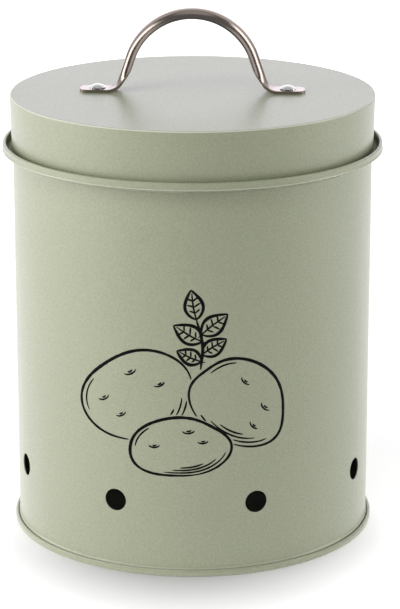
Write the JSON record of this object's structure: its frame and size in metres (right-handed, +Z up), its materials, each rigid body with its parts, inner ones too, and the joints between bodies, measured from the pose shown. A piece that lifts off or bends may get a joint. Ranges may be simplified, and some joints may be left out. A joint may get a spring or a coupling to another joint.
{
  "type": "vegetable storage bin",
  "caption": "Round sheet-steel storage bin with a lift-off plug lid, a riveted bow handle on the lid, vent holes round the wall near the floor and a folded base seam.",
  "frame": {"origin": "centre of the base, on the surface that the bin stands on", "axes": "+Z up through the lid and handle; +X along the line of the two rivets, towards rivet_right; -Y is the front and the lap seam of the wall is at +Y"},
  "size_m": [0.1908, 0.1908, 0.265],
  "materials": {
    "enamelled_wall": "sage green satin powder coat on sheet steel",
    "enamelled_pan": "sage green satin powder coat on sheet steel",
    "enamelled_lid": "sage green satin powder coat on sheet steel",
    "satin_strap": "satin, brushed along the strap",
    "bright_rivet": "polished"
  },
  "bodies": {
    "bin": {"body_shell": "enamelled_wall", "base_pan": "enamelled_pan"},
    "lid": {"lid_shell": "enamelled_lid", "handle": "satin_strap", "rivet_left": "bright_rivet", "rivet_right": "bright_rivet"}
  },
  "joints": [
    {"name": "lid_lift", "type": "slide", "parent": "bin", "child": "lid", "axis": [0, 0, 1], "range_m": [0, 0.1]}
  ]
}
